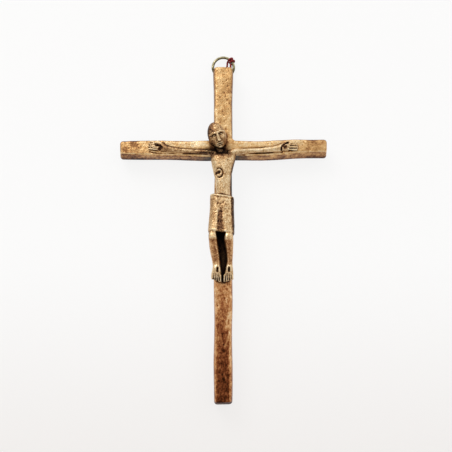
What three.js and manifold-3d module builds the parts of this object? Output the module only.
// Bronze wall cross with a cast corpus, a hanging ring in an eye on the back, and a tied thread.
// Millimetres. +Z runs up the upright, +X to the right seen from the front, +Y towards the wall.
// The origin is the centre of the crossing, on the flat back.

import * as THREE from 'three';
import { mergeVertices } from 'three/addons/utils/BufferGeometryUtils.js';
import Module from 'manifold-3d';

const wasm = await Module();
wasm.setup();

// Driving sizes of the cross casting
const crossHeight = 246.6;
const uprightAbove = 63.6;
const crossbarReach = 75.6;
const uprightWidth = 13.1;
const upperWidening = 0.9;
const crossbarHeight = 13.2;
const lowerEdgeRise = 1;
const rightEndLift = 1;
const crossThickness = 11;
const sideDraft = 0.7;
const frontEdgeRadius = 1.5;
const backEdgeRadius = 0.4;
const outerCornerRadius = 2.2;
const innerFillet = 1.6;
const upperRightFillet = 3.4;
const edgeWander = 0.22;

// Driving sizes of the head, whose crown leans to the left and forward
const headHeight = 20;
const headWidth = 13.2;
const headDepth = 13;
const headLean = 16;
const headBow = 12;
const headCentreX = -4.6;
const headCentreZ = 7.9;
const headProud = 11.6;
const neckThickness = 5.6;

// Driving sizes of the torso and arms
const shoulderDrop = 3;
const shoulderWidth = 18.4;
const waistWidth = 10.4;
const torsoLength = 33.6;
const chestDepth = 6.8;
const armLength = 33;
const armRise = 3.6;
const armHeightAtShoulder = 4.4;
const armHeightAtWrist = 3.1;
const armRelief = 2.8;

// Driving sizes of the hands
const palmLength = 7.6;
const palmHeight = 6.4;
const palmRelief = 2.6;
const palmRise = 1.9;
const fingerLength = 6.6;
const fingerThickness = 1.5;
const leftFingerFan = 11;
const leftFingerTilt = 8;
const rightFingerFan = 3;
const rightFingerTilt = 0;
const palmMarkRadius = 1.8;

// Driving sizes of the side wound
const woundCentreX = -4.2;
const woundDrop = 17.4;
const woundBossRadius = 2.7;
const woundPitRadius = 1.5;
const woundGroove = 0.8;

// Driving sizes of the loincloth
const loinclothLength = 27.4;
const loinclothWidth = 17.4;
const hemWidth = 19;
const loinclothDepth = 7.8;
const hemDepth = 9.2;
const clothSlant = 0.14;
const foldWidth = 5;
const foldDepth = 2.2;

// Driving sizes of the legs and feet
const legCentreX = -1.5;
const kneeSpacing = 12.4;
const ankleSpacing = 9;
const kneeDrop = 3.4;
const shinLength = 19.1;
const footLength = 12.2;
const kneeWidth = 6.6;
const kneeDepth = 9.6;
const ankleWidth = 4.8;
const ankleDepth = 5.2;
const footWidth = 6.6;
const toeThickness = 1.5;
const footMarkWidth = 1.6;

// Driving sizes of the ring, its eye and the thread
const ringOuterDiameter = 17.7;
const ringWire = 2;
const eyeWire = 1.4;
const eyeBelowTop = 1.3;
const runningGap = 0.4;
const threadDiameter = 1;
const threadTurns = 2;
const threadPitch = 1.95;
const threadAngle = 40;

// Driving sizes of the screws
const screwDiameter = 2.5;
const screwHeadDiameter = 4.7;
const screwHeadSink = 0.2;
const screwSlotWidth = 0.8;
const screwBite = 3.2;
const shoulderScrewSpacing = 7;
const shoulderScrewDrop = 6;
const seatGap = 0.3;

const radians = THREE.MathUtils.degToRad;
const mix = THREE.MathUtils.lerp;
const smooth = THREE.MathUtils.smoothstep;
const point = (x, y, z) => new THREE.Vector3(x, y, z);

const uprightBelow = crossHeight - uprightAbove;

// Heights down the figure, from which everything on it is placed
const seatY = -crossThickness;
const shoulderZ = -shoulderDrop;
const waistZ = shoulderZ - torsoLength;
const hemZ = waistZ - loinclothLength;
const kneeZ = hemZ - kneeDrop;
const ankleZ = kneeZ - shinLength;
const toeZ = ankleZ - footLength;

// Makes an indexed surface and turns it round where its faces point inwards.
function closedSurface(points, triangles) {
  let volume = 0;
  for (let start = 0; start < triangles.length; start += 3) {
    const [a, b, c] = [0, 1, 2].map((corner) => points[triangles[start + corner]]);
    volume += a.dot(point().crossVectors(b, c));
  }
  const geometry = new THREE.BufferGeometry().setFromPoints(points);
  geometry.setIndex(volume < 0 ? triangles.toReversed() : triangles);
  return geometry;
}

// Triangles of a ring's end. The outline of the cross is triangulated as seen from the front, and
// the round end of a limb, which is edge-on from there, is a fan.
function endTriangles(ring) {
  const contour = ring.map(({ x, z }) => new THREE.Vector2(x, z));
  const area = THREE.ShapeUtils.area(contour);
  const isRoundEnd = Math.abs(area) < uprightWidth;
  if (isRoundEnd) return ring.slice(2).map((_, index) => [0, index + 1, index + 2]);
  return THREE.ShapeUtils.triangulateShape(contour, []).map((face) => {
    const faceArea = THREE.ShapeUtils.area(face.map((corner) => contour[corner]));
    return faceArea * area > 0 ? face : face.toReversed();
  });
}

// Joins rings of equal point count into one closed body.
function loft(rings) {
  const count = rings[0].length;
  const triangles = [];
  for (let ring = 0; ring < rings.length - 1; ring += 1) {
    for (let side = 0; side < count; side += 1) {
      const a = ring * count + side;
      const b = ring * count + (side + 1) % count;
      triangles.push(a, b, b + count, a, b + count, a + count);
    }
  }
  const lastStart = (rings.length - 1) * count;
  for (const face of endTriangles(rings[0])) triangles.push(...face.toReversed());
  for (const face of endTriangles(rings.at(-1))) {
    triangles.push(...face.map((corner) => lastStart + corner));
  }
  return closedSurface(rings.flat(), triangles);
}

// A round rod along a route, carried without twist.
function rod(route, diameter, sides, firstSide) {
  const side = firstSide.clone();
  const rings = route.map((place, index) => {
    const before = route[Math.max(index - 1, 0)];
    const after = route[Math.min(index + 1, route.length - 1)];
    const along = point().subVectors(after, before).normalize();
    side.addScaledVector(along, -side.dot(along)).normalize();
    const across = point().crossVectors(along, side);
    return Array.from({ length: sides }, (_, corner) => {
      const turn = corner / sides * Math.PI * 2;
      return place.clone()
        .addScaledVector(side, Math.cos(turn) * diameter / 2)
        .addScaledVector(across, Math.sin(turn) * diameter / 2);
    });
  });
  return loft(rings);
}

function solid(geometry) {
  const bare = geometry.clone();
  bare.deleteAttribute('normal');
  bare.deleteAttribute('uv');
  const merged = mergeVertices(bare, 1e-5);
  return new wasm.Manifold(new wasm.Mesh({
    numProp: 3,
    vertProperties: new Float32Array(merged.attributes.position.array),
    triVerts: new Uint32Array(merged.index.array),
  }));
}

function surface(body) {
  const mesh = body.getMesh();
  const geometry = new THREE.BufferGeometry();
  geometry.setAttribute('position', new THREE.BufferAttribute(mesh.vertProperties, 3));
  geometry.setIndex(new THREE.BufferAttribute(mesh.triVerts, 1));
  geometry.computeVertexNormals();
  return geometry;
}

function joined(bodies) {
  return bodies.reduce((whole, body) => whole.add(body));
}

function boxBetween(low, high) {
  const size = point().subVectors(high, low);
  const middle = point().addVectors(low, high).multiplyScalar(0.5);
  const box = new THREE.BoxGeometry(size.x, size.y, size.z);
  return solid(box.translate(middle.x, middle.y, middle.z));
}

function ellipsoid(centre, radii, sides = 14, rings = 8) {
  const ball = new THREE.SphereGeometry(1, sides, rings);
  return solid(ball.scale(radii.x, radii.y, radii.z).translate(centre.x, centre.y, centre.z));
}

// A revolved body whose axis runs from one point towards another.
function revolved(profile, sides, from, towards) {
  const geometry = new THREE.LatheGeometry(profile, sides);
  const direction = point().subVectors(towards, from).normalize();
  const turn = new THREE.Quaternion().setFromUnitVectors(point(0, 1, 0), direction);
  return solid(geometry.applyQuaternion(turn).translate(from.x, from.y, from.z));
}

// A tapered rod with round ends, as a finger or toe is.
function roundedRod(from, to, startRadius, endRadius, sides = 8) {
  const arcSteps = 3;
  const length = from.distanceTo(to);
  const profile = [];
  for (let step = 0; step <= arcSteps; step += 1) {
    const angle = (step / arcSteps - 1) * Math.PI / 2;
    const radius = step === 0 ? 0 : startRadius * Math.cos(angle);
    profile.push(new THREE.Vector2(radius, startRadius * Math.sin(angle)));
  }
  for (let step = 0; step <= arcSteps; step += 1) {
    const angle = step / arcSteps * Math.PI / 2;
    const radius = step === arcSteps ? 0 : endRadius * Math.cos(angle);
    profile.push(new THREE.Vector2(radius, length + endRadius * Math.sin(angle)));
  }
  return revolved(profile, sides, from, to);
}

// One rounded-square section of a limb, centred on the seat plane, where the figure's back is cut
// flat. An upright section slants down to the right by the given slope.
function section({ centre, along, half, depth, squareness = 2.4, slant = 0, lying = false, sides = 20 }) {
  return Array.from({ length: sides }, (_, corner) => {
    const angle = corner / sides * Math.PI * 2;
    const wide = half * Math.sign(Math.cos(angle)) * Math.abs(Math.cos(angle)) ** (2 / squareness);
    const deep = depth * Math.sign(Math.sin(angle)) * Math.abs(Math.sin(angle)) ** (2 / squareness);
    if (lying) return point(along, seatY - deep, centre + wide);
    return point(centre + wide, seatY - deep, along - (centre + wide) * slant);
  });
}

// The twelve corners of the cross drawn in by an inset, each with the radius of its rounding.
function crossCorners(inset) {
  const half = uprightWidth / 2 - inset;
  const rise = crossbarHeight / 2 - inset;
  const top = uprightAbove - inset;
  const bottom = inset - uprightBelow;
  const reach = crossbarReach - inset;
  const round = Math.max(outerCornerRadius - inset, outerCornerRadius / 8);
  const fillet = innerFillet + inset;
  return [
    [-half, bottom, round], [half, bottom, round], [half, -rise, fillet],
    [reach, -rise, round], [reach, rise, round], [half, rise, upperRightFillet + inset],
    [half, top, round], [-half, top, round], [-half, rise, fillet],
    [-reach, rise, round], [-reach, -rise, round], [-half, -rise, fillet],
  ].map(([x, z, radius]) => ({ at: new THREE.Vector2(x, z), radius }));
}

// The outline has the same number of points at every inset. Long edges are divided, so that the
// wander of a hand-worked edge has points to act on. The upright widens to its top, the lower edge
// of the crossbar rises towards both ends, and the right end is bent up.
function crossOutline(inset, y) {
  const arcSteps = 4;
  const edgeStep = 9;
  const corners = crossCorners(inset);
  const fullSize = crossCorners(0);
  const outline = [];
  corners.forEach(({ at, radius }, number) => {
    const nextNumber = (number + 1) % corners.length;
    const back = new THREE.Vector2().subVectors(corners.at(number - 1).at, at).normalize();
    const on = new THREE.Vector2().subVectors(corners[nextNumber].at, at).normalize();
    const centre = at.clone().addScaledVector(back, radius).addScaledVector(on, radius);
    for (let step = 0; step <= arcSteps; step += 1) {
      const turn = step / arcSteps * Math.PI / 2;
      const onArc = centre.clone().addScaledVector(on, -radius * Math.cos(turn));
      outline.push(onArc.addScaledVector(back, -radius * Math.sin(turn)));
    }
    const nextCorner = corners[nextNumber];
    const edgeStart = at.clone().addScaledVector(on, radius);
    const edgeEnd = nextCorner.at.clone().addScaledVector(on, -nextCorner.radius);
    const pieces = Math.max(Math.round(fullSize[number].at.distanceTo(fullSize[nextNumber].at) / edgeStep), 2);
    for (let piece = 1; piece < pieces; piece += 1) {
      outline.push(edgeStart.clone().lerp(edgeEnd, piece / pieces));
    }
  });
  return outline.map(({ x, y: z }) => {
    const isUpright = Math.abs(x) < uprightWidth;
    const widening = isUpright ? Math.sign(x) * upperWidening * smooth(z, 0, uprightAbove) : 0;
    const rise = z < 0 ? lowerEdgeRise * smooth(Math.abs(x), uprightWidth / 2, crossbarReach) : 0;
    const lift = rightEndLift * smooth(x, crossbarReach / 4, crossbarReach);
    const dx = edgeWander * Math.sin(z * 0.11 + (x > 0 ? 0.8 : 2.9));
    const dz = edgeWander * Math.sin(x * 0.13 + (z > 0 ? 1.7 : 0.4));
    return point(x + widening + dx, y, z + rise + lift + dz);
  });
}

// The upright and crossbar are one casting with drafted sides and a rounded front edge.
function makeCrossCasting() {
  const edgeY = frontEdgeRadius - crossThickness;
  const rings = [
    crossOutline(backEdgeRadius, 0),
    crossOutline(0, -backEdgeRadius),
    crossOutline(sideDraft, edgeY),
  ];
  const edgeSteps = 3;
  for (let step = 1; step <= edgeSteps; step += 1) {
    const angle = step / edgeSteps * Math.PI / 2;
    const inset = sideDraft + frontEdgeRadius * (1 - Math.cos(angle));
    rings.push(crossOutline(inset, step === edgeSteps ? seatY : edgeY - frontEdgeRadius * Math.sin(angle)));
  }
  return solid(loft(rings));
}

function makeTorso() {
  const steps = 10;
  const rings = [];
  for (let step = 0; step <= steps; step += 1) {
    const t = step / steps;
    const taper = 1 - smooth(t, 0.05, 0.85);
    const collar = Math.sqrt(Math.min(t / 0.2, 1));
    rings.push(section({
      centre: 0,
      along: mix(shoulderZ, waistZ - 2, t),
      half: mix(waistWidth, shoulderWidth, taper) / 2 * mix(0.78, 1, collar),
      depth: chestDepth * mix(0.2, 1, collar) * (1 - 0.1 * smooth(t, 0.5, 1)),
      squareness: 2.8,
      sides: 24,
    }));
  }
  return solid(loft(rings));
}

const wristX = shoulderWidth / 2 + armLength;
const wristZ = shoulderZ - armHeightAtShoulder / 3 + armRise;

function makeArm(side) {
  const steps = 8;
  const rings = [];
  for (let step = 0; step <= steps; step += 1) {
    const t = step / steps;
    rings.push(section({
      centre: mix(shoulderZ - armHeightAtShoulder / 2, wristZ, Math.sqrt(t)),
      along: side * mix(shoulderWidth / 2 - 3, wristX + 1, t),
      half: mix(armHeightAtShoulder, armHeightAtWrist, t) / 2,
      depth: mix(chestDepth * 0.72, armRelief, smooth(t, 0, 0.35)),
      squareness: 2.2,
      lying: true,
      sides: 14,
    }));
  }
  return solid(loft(rings));
}

// An open palm with a nail mark, four fingers fanned outwards and a thumb that points up.
function makeHand(side, fan, tilt) {
  const palmX = side * (wristX + palmLength / 2);
  const palmZ = wristZ + palmRise;
  const palm = ellipsoid(
    point(palmX, seatY, palmZ),
    point(palmLength / 2 + 0.8, palmRelief, palmHeight / 2),
  );
  const fingers = [0, 1, 2, 3].map((finger) => {
    const spread = finger - 1.5;
    const angle = radians(spread * fan + tilt);
    const from = point(palmX + side * palmLength * 0.3, seatY - 1.3, palmZ + spread * palmHeight * 0.22);
    const reach = fingerLength * (finger === 3 ? 0.82 : 1 - 0.06 * Math.abs(spread));
    const to = from.clone().add(point(side * Math.cos(angle) * reach, 0.6, Math.sin(angle) * reach));
    return roundedRod(from, to, fingerThickness / 2, fingerThickness * 0.4);
  });
  const thumbFrom = point(palmX - side * palmLength * 0.1, seatY - 1.2, palmZ + palmHeight * 0.33);
  const thumbTo = thumbFrom.clone().add(point(side * fingerLength * 0.4, 0.3, fingerLength * 0.26));
  const thumb = roundedRod(thumbFrom, thumbTo, fingerThickness * 0.55, fingerThickness * 0.42);
  const mark = ellipsoid(
    point(palmX, seatY - palmRelief, palmZ),
    point(palmMarkRadius * 1.4, palmRelief * 0.55, palmMarkRadius),
    10,
    6,
  );
  return joined([palm, ...fingers, thumb]).subtract(mark);
}

// A wound drawn as a raised ring with a pit, set in a round groove.
function cutWound(torso) {
  const z = shoulderZ - woundDrop;
  const front = point(woundCentreX, seatY - chestDepth - 0.4, z);
  const back = point(woundCentreX, seatY, z);
  const outer = woundBossRadius + woundGroove;
  const groove = revolved([
    new THREE.Vector2(0, -2), new THREE.Vector2(outer, -2), new THREE.Vector2(outer, 0.4),
    new THREE.Vector2(woundBossRadius, 1.3), new THREE.Vector2(0, 1.3),
  ], 20, front, back);
  const boss = revolved([
    new THREE.Vector2(0, 1.4), new THREE.Vector2(woundPitRadius * 0.6, 1.2),
    new THREE.Vector2(woundPitRadius, 0.2), new THREE.Vector2(mix(woundPitRadius, woundBossRadius, 0.5), -0.1),
    new THREE.Vector2(woundBossRadius - 0.2, 0.25), new THREE.Vector2(woundBossRadius, 1),
    new THREE.Vector2(woundBossRadius, 3), new THREE.Vector2(0, 3),
  ], 20, front, back);
  return torso.subtract(groove).add(boss);
}

const clothSquareness = 3.4;

function clothSection(t) {
  const roll = Math.sqrt(Math.min(t / 0.12, 1));
  return {
    centre: mix(legCentreX / 2, legCentreX * 0.9, t),
    along: mix(waistZ, hemZ, t),
    half: mix(loinclothWidth, hemWidth, t) / 2 * mix(0.86, 1, roll),
    depth: mix(loinclothDepth, hemDepth, t) * mix(0.84, 1, roll),
    squareness: clothSquareness,
    slant: clothSlant,
    sides: 28,
  };
}

// A point on the front of the loincloth, at a share of its length down from the waist.
function onCloth(x, t) {
  const { centre, along, half, depth } = clothSection(t);
  const across = Math.min(Math.abs(x - centre) / half, 1) ** clothSquareness;
  return point(x, seatY - depth * (1 - across) ** (1 / clothSquareness), along - x * clothSlant);
}

// The loincloth has a slanting waist roll, a knot with drawn folds, and one deep fold to the hem.
function makeLoincloth() {
  const steps = 8;
  const rings = Array.from({ length: steps + 1 }, (_, step) => section(clothSection(step / steps)));
  const outside = 0.8;
  const fold = ellipsoid(
    point(legCentreX, seatY - hemDepth - outside, hemZ - 2),
    point(foldWidth / 2, foldDepth + outside, loinclothLength * 0.72),
    12,
    12,
  );
  const knotX = foldWidth / 3;
  const knotAt = 0.28;
  const knot = ellipsoid(onCloth(knotX, knotAt), point(2.4, 1.3, 1.9), 10, 6);
  const drapes = [[-9, 0.14], [-8.4, 0.38], [-6.4, 0.62], [5, 0.16], [5.2, 0.5]].map(([dx, t]) => (
    roundedRod(onCloth(knotX, knotAt), onCloth(knotX + dx, t), 1, 0.6)
  ));
  return joined([solid(loft(rings)).subtract(fold), knot, ...drapes]);
}

// A leg is one loft from under the hem over the knee and shin to the ball of the foot.
function makeLeg(side) {
  const kneeX = legCentreX + side * kneeSpacing / 2;
  const ankleX = legCentreX * 0.2 + side * ankleSpacing / 2;
  const stations = [
    [hemZ + 3, kneeX - side * 0.8, kneeWidth * 0.8, hemDepth - 1.8],
    [hemZ + 0.6, kneeX - side * 0.2, kneeWidth * 0.95, hemDepth - 1],
    [kneeZ + 1.2, kneeX, kneeWidth, kneeDepth],
    [kneeZ - 1.6, kneeX, kneeWidth * 0.98, kneeDepth - 0.2],
    [mix(kneeZ, ankleZ, 0.45), mix(kneeX, ankleX, 0.34), kneeWidth * 0.9, mix(kneeDepth, ankleDepth, 0.42)],
    [mix(kneeZ, ankleZ, 0.78), mix(kneeX, ankleX, 0.75), ankleWidth * 1.08, mix(kneeDepth, ankleDepth, 0.85)],
    [ankleZ, ankleX, ankleWidth, ankleDepth],
    [mix(ankleZ, toeZ, 0.2), ankleX, mix(ankleWidth, footWidth, 0.3), ankleDepth + 0.6],
    [mix(ankleZ, toeZ, 0.42), ankleX + side * 0.1, mix(ankleWidth, footWidth, 0.75), ankleDepth + 0.3],
    [mix(ankleZ, toeZ, 0.62), ankleX + side * 0.2, footWidth, ankleDepth - 0.7],
    [mix(ankleZ, toeZ, 0.78), ankleX + side * 0.2, footWidth * 0.9, ankleDepth - 2.2],
  ];
  const rings = stations.map(([along, centre, width, depth]) => (
    section({ centre, along, half: width / 2, depth, squareness: 2.3, sides: 16 })
  ));
  const toes = [0, 1, 2, 3, 4].map((toe) => {
    const across = (toe - 2) / 2 * (footWidth / 2 - toeThickness * 0.45);
    const x = ankleX + side * (0.2 + across);
    const thick = toeThickness * (toe === 0 ? 1.25 : 1 - 0.07 * toe) / 2;
    const from = point(x, seatY - ankleDepth + 2, mix(ankleZ, toeZ, 0.66));
    const to = point(x + side * across * 0.22, seatY - thick - 0.9, toeZ + thick + toe * 0.45);
    return roundedRod(from, to, thick, thick * 0.9);
  });
  const mark = ellipsoid(
    point(ankleX, seatY - ankleDepth - 0.7, mix(ankleZ, toeZ, 0.4)),
    point(footMarkWidth / 2, 1.8, footMarkWidth * 1.15),
    8,
    6,
  );
  return joined([solid(loft(rings)), ...toes]).subtract(mark);
}

// The head is modelled upright at its own centre and then bowed and leant. Its face is a calm one
// on the usual proportions: eyes at half height, nose to a third, mouth to a fifth.
function makeHead() {
  const [a, b, c] = [headWidth / 2, headDepth / 2, headHeight / 2];
  const skull = new THREE.SphereGeometry(1, 26, 20).rotateX(Math.PI / 2);
  const places = skull.attributes.position;
  for (let index = 0; index < places.count; index += 1) {
    const up = places.getZ(index);
    const jaw = up < 0 ? 1 - 0.3 * up * up : 1 - 0.05 * up;
    places.setXYZ(index, places.getX(index) * a * jaw, places.getY(index) * b * jaw, up * c);
  }
  const faceY = (x, z) => {
    const up = z / c;
    const jaw = up < 0 ? 1 - 0.3 * up * up : 1 - 0.05 * up;
    return -b * jaw * Math.sqrt(Math.max(1 - up * up - (x / (a * jaw)) ** 2, 0));
  };
  const onFace = (x, z, proud) => point(x, faceY(x, z) - proud, z);
  const browZ = c * 0.17;
  const noseZ = -c * 0.36;
  const mouthZ = -c * 0.57;
  const eyeX = a * 0.42;
  const nose = joined([
    roundedRod(onFace(0, browZ, -0.4), onFace(0, noseZ, 0.9), 0.6, 0.85),
    ellipsoid(onFace(0, noseZ, 0.35), point(1.3, 0.8, 0.7), 10, 6),
  ]);
  const features = [-1, 1].flatMap((side) => [
    roundedRod(onFace(side * 0.6, browZ, -0.2), onFace(side * (eyeX + 2), browZ + 0.5, -0.2), 0.55, 0.45, 6),
    ellipsoid(onFace(side * a * 0.98, -c * 0.06, 0), point(0.8, 1.2, 1.9), 8, 6),
  ]);
  const sockets = [-1, 1].map((side) => (
    ellipsoid(onFace(side * eyeX, 0, 0.2), point(1.9, 1.1, 1.15), 12, 6)
  ));
  const lids = [-1, 1].map((side) => (
    ellipsoid(onFace(side * eyeX, -0.1, -0.7), point(1.45, 0.85, 0.8), 12, 6)
  ));
  const lips = [0.38, -0.42].map((rise) => (
    roundedRod(onFace(-1.5, mouthZ + rise * 0.4, -0.15), onFace(1.5, mouthZ + rise * 0.4, -0.15), 0.4, 0.4, 6)
      .translate([0, 0, rise * 0.6])
  ));
  const cap = solid(new THREE.SphereGeometry(1, 26, 14).scale(a + 0.5, b + 0.4, c + 0.4))
    .subtract(boxBetween(point(-a * 2, -b * 2, -c * 2), point(a * 2, -b * 0.28, c * 0.56)))
    .subtract(boxBetween(point(-a * 2, -b * 2, -c * 2), point(a * 2, b * 2, -c * 0.42)));
  const bare = joined([solid(skull), ...features]);
  const head = joined([sockets.reduce((whole, socket) => whole.subtract(socket), bare), nose, ...lids, ...lips, cap]);
  const place = new THREE.Matrix4().makeTranslation(headCentreX, seatY - headProud + b, headCentreZ)
    .multiply(new THREE.Matrix4().makeRotationY(radians(-headLean)))
    .multiply(new THREE.Matrix4().makeRotationX(radians(headBow)));
  return solid(surface(head).applyMatrix4(place));
}

function makeNeck() {
  const from = point(headCentreX * 0.3, seatY - neckThickness * 0.2, shoulderZ - 3);
  const to = point(headCentreX, seatY - neckThickness * 0.4, headCentreZ - headHeight * 0.2);
  return roundedRod(from, to, neckThickness / 2, neckThickness / 2, 14);
}

// Places of the three screws on the cross, which also place their holes
const screwPlaces = {
  shoulder_screw_left: [-shoulderScrewSpacing / 2, shoulderZ - shoulderScrewDrop],
  shoulder_screw_right: [shoulderScrewSpacing / 2, shoulderZ - shoulderScrewDrop],
  loincloth_screw: [0, mix(waistZ, hemZ, 0.4)],
};
const screwHeadHeight = (screwHeadDiameter - screwDiameter) / 2;
const screwLength = crossThickness + screwBite - screwHeadSink;

// The outline of a countersunk screw, or of its hole when a gap is given, from the head's top down.
function screwProfile(gap) {
  const radius = screwDiameter / 2 + gap;
  const headRadius = screwHeadDiameter / 2 + gap;
  const top = gap > 0 ? -screwHeadSink - 1 : 0;
  return [
    new THREE.Vector2(0, top), new THREE.Vector2(headRadius, top), new THREE.Vector2(headRadius, gap / 2),
    new THREE.Vector2(radius, screwHeadHeight + gap / 2), new THREE.Vector2(radius, screwLength + gap - 0.5),
    new THREE.Vector2(radius - 0.5, screwLength + gap), new THREE.Vector2(0, screwLength + gap),
  ];
}

function screwBody([x, z], gap) {
  return revolved(screwProfile(gap), 20, point(x, -screwHeadSink, z), point(x, -crossThickness, z));
}

function makeScrew(place) {
  const [x, z] = place;
  const half = screwSlotWidth / 2;
  const reach = screwHeadDiameter;
  const slot = boxBetween(
    point(x - reach, -screwHeadSink - screwSlotWidth, z - half),
    point(x + reach, screwHeadSink + 1, z + half),
  );
  return screwBody(place, 0).subtract(slot);
}

function withoutScrewHoles(body) {
  return Object.values(screwPlaces).reduce((rest, place) => rest.subtract(screwBody(place, seatGap)), body);
}

// The figure is one casting with a flat back that lies on the front of the cross.
function makeCorpus() {
  const figure = joined([
    cutWound(makeTorso()), makeLoincloth(), makeHead(), makeNeck(),
    makeArm(-1), makeArm(1), makeHand(-1, leftFingerFan, leftFingerTilt), makeHand(1, rightFingerFan, rightFingerTilt),
    makeLeg(-1), makeLeg(1),
  ]);
  const far = crossbarReach + uprightBelow;
  const behind = boxBetween(point(-far, seatY, -far), point(far, seatY + far, far));
  return withoutScrewHoles(figure.subtract(behind));
}

// The ring stands off the back by the wire, the thread round it and a gap on each side of that.
const ringRadius = (ringOuterDiameter - ringWire) / 2;
const ringY = ringWire / 2 + threadDiameter + 2 * seatGap;
const eyeRadius = ringWire / 2 + runningGap + eyeWire / 2;
const eyeZ = uprightAbove - eyeBelowTop - eyeWire / 2 - eyeRadius;
const ringZ = eyeZ + ringRadius;

// A wire eye whose two feet are soldered to the back.
function makeEye() {
  const arcSteps = 12;
  const route = [point(0, 0, eyeZ + eyeRadius)];
  for (let step = 0; step <= arcSteps; step += 1) {
    const angle = step / arcSteps * Math.PI;
    route.push(point(0, ringY + eyeRadius * Math.sin(angle), eyeZ + eyeRadius * Math.cos(angle)));
  }
  route.push(point(0, 0, eyeZ - eyeRadius));
  return rod(route, eyeWire, 12, point(1, 0, 0));
}

function makeRing() {
  return new THREE.TorusGeometry(ringRadius, ringWire / 2, 12, 48)
    .rotateX(Math.PI / 2)
    .translate(0, ringY, ringZ);
}

// The thread is wound round the ring wire in one run, with both ends hanging inside the ring.
function threadRoute() {
  const stepsPerTurn = 24;
  const coilRadius = ringWire / 2 + seatGap + threadDiameter / 2;
  const coil = [];
  for (let step = 0; step <= threadTurns * stepsPerTurn; step += 1) {
    const turn = step / stepsPerTurn;
    const around = radians(threadAngle) + (turn - threadTurns / 2) * threadPitch / ringRadius;
    const angle = Math.PI + turn * Math.PI * 2;
    const out = ringRadius + coilRadius * Math.cos(angle);
    coil.push(point(out * Math.cos(around), ringY - coilRadius * Math.sin(angle), ringZ + out * Math.sin(around)));
  }
  const first = coil[0];
  const last = coil.at(-1);
  const upTail = [[0.1, -0.5, -5], [0.1, -0.6, -4.2], [0.1, -0.7, -3.2], [0.1, -0.9, -2.2], [0.05, -1, -1.1]];
  const downTail = [[-0.5, 0.55, -1.15], [-0.65, 0.4, -2.6], [-0.75, 0.3, -4.2], [-0.8, 0.1, -5.8], [-0.8, 0, -7.2]];
  return [
    ...upTail.map((offset) => first.clone().add(point(...offset))),
    ...coil,
    ...downTail.map((offset) => last.clone().add(point(...offset))),
  ];
}

// The least clear distance between stretches of the route more than half a turn apart.
function leastGapToItself(route) {
  const apart = 12;
  let least = Infinity;
  for (let one = 0; one < route.length; one += 1) {
    for (let other = one + apart; other < route.length; other += 1) {
      least = Math.min(least, route[one].distanceTo(route[other]));
    }
  }
  return least - threadDiameter;
}

function makeThread() {
  const route = threadRoute();
  console.log(`thread: least gap to itself ${leastGapToItself(route).toFixed(2)} mm`);
  const lengths = route.slice(1).map((place, index) => place.distanceTo(route[index]));
  console.log(`thread: length ${lengths.reduce((sum, length) => sum + length).toFixed(1)} mm`);
  return rod(route, threadDiameter, 6, point(1, 0, 0));
}

const castBronze = { color: 0xc79d69, roughness: 0.42, metalness: 0.9 };
const figureBronze = { color: 0xd2aa72, roughness: 0.4, metalness: 0.9 };
const brassWire = { color: 0x96906a, roughness: 0.35, metalness: 0.9 };
const screwBrass = { color: 0xb08d57, roughness: 0.4, metalness: 0.9 };
const redThread = { color: 0x731416, roughness: 0.9, metalness: 0 };

const group = new THREE.Group();

function addPiece(name, geometry, finish) {
  const mesh = new THREE.Mesh(geometry, new THREE.MeshStandardMaterial(finish));
  mesh.name = name;
  group.add(mesh);
}

addPiece('cross', surface(withoutScrewHoles(makeCrossCasting())), castBronze);
addPiece('corpus', surface(makeCorpus()), figureBronze);
for (const [name, place] of Object.entries(screwPlaces)) {
  addPiece(name, surface(makeScrew(place)), screwBrass);
}
addPiece('hanging_eye', makeEye(), brassWire);
addPiece('hanging_ring', makeRing(), brassWire);
addPiece('thread_tie', makeThread(), redThread);

export default group;
